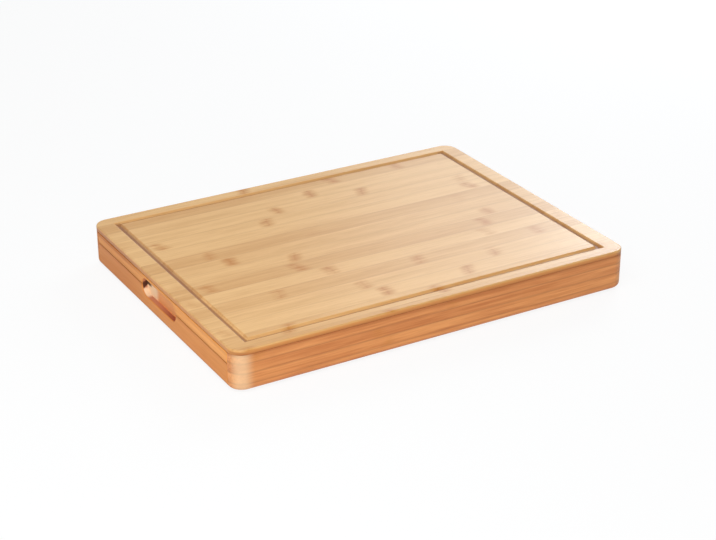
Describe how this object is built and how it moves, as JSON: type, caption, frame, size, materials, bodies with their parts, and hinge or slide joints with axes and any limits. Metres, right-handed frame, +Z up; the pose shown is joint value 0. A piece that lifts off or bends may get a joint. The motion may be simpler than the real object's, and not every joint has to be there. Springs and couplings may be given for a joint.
{
  "type": "cutting board with drawer trays",
  "caption": "Flat bamboo cutting board with a juice groove, over a low case with a sliding drawer at each end that holds a lift-out steel tray.",
  "frame": {"origin": "on the table, under the middle of the board", "axes": "+X along the long side towards the right drawer, +Y away from the near long side, +Z up"},
  "size_m": [0.4, 0.3, 0.04],
  "materials": {
    "bamboo_top": "oiled flat-pressed bamboo strips",
    "bamboo_rail": "oiled laminated bamboo",
    "bamboo_front": "oiled laminated bamboo",
    "bamboo_inner": "sanded bamboo",
    "panel_ply": "thin bamboo ply",
    "dowel_wood": "ribbed hardwood dowel",
    "tray_steel": "satin stainless steel",
    "foot_rubber": "matt rubber"
  },
  "bodies": {
    "carcass": {"top_board": "bamboo_top", "near_rail": "bamboo_rail", "far_rail": "bamboo_rail", "bottom_panel": "panel_ply", "centre_divider": "bamboo_inner", "carcass_dowels": "dowel_wood", "foot_near_left": "foot_rubber", "foot_near_right": "foot_rubber", "foot_far_left": "foot_rubber", "foot_far_right": "foot_rubber"},
    "left_drawer": {"left_drawer_front": "bamboo_front", "left_drawer_near_wall": "bamboo_inner", "left_drawer_far_wall": "bamboo_inner", "left_drawer_inner_wall": "bamboo_inner", "left_drawer_dowels": "dowel_wood", "left_tray": "tray_steel"},
    "right_drawer": {"right_drawer_front": "bamboo_front", "right_drawer_near_wall": "bamboo_inner", "right_drawer_far_wall": "bamboo_inner", "right_drawer_inner_wall": "bamboo_inner", "right_drawer_dowels": "dowel_wood", "right_tray": "tray_steel"}
  },
  "joints": [
    {"name": "left_drawer_slide", "type": "slide", "parent": "carcass", "child": "left_drawer", "axis": [-1, 0, 0], "range_m": [0, 0.14]},
    {"name": "right_drawer_slide", "type": "slide", "parent": "carcass", "child": "right_drawer", "axis": [1, 0, 0], "range_m": [0, 0.14]}
  ]
}
